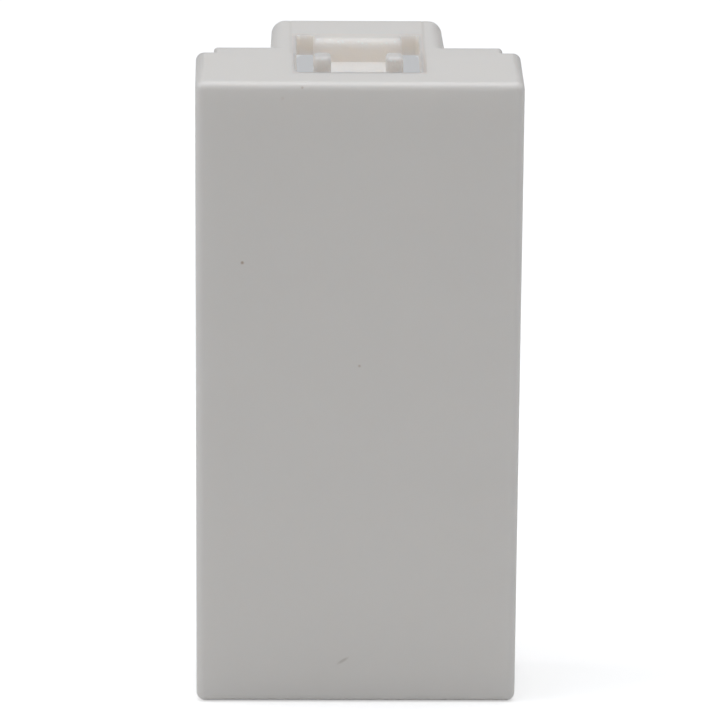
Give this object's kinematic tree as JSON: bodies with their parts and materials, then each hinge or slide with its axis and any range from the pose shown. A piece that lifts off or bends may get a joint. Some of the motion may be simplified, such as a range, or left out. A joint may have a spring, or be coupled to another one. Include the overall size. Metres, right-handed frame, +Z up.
{
  "type": "blank module cover",
  "caption": "Moulded blank cover for a half module place: a plain front box, open at the back, with a clip hood, catch window and spring tongue at each end.",
  "frame": {"origin": "middle of the underside, at the centre of the overall width and depth", "axes": "+X to the right seen from the front, +Y from the front face to the rear, +Z up along the long side"},
  "size_m": [0.0226, 0.0182, 0.045],
  "materials": {
    "cover_plastic": "satin with a very fine moulded texture, white"
  },
  "bodies": {
    "root": {"blank_cover": "cover_plastic"}
  },
  "joints": []
}
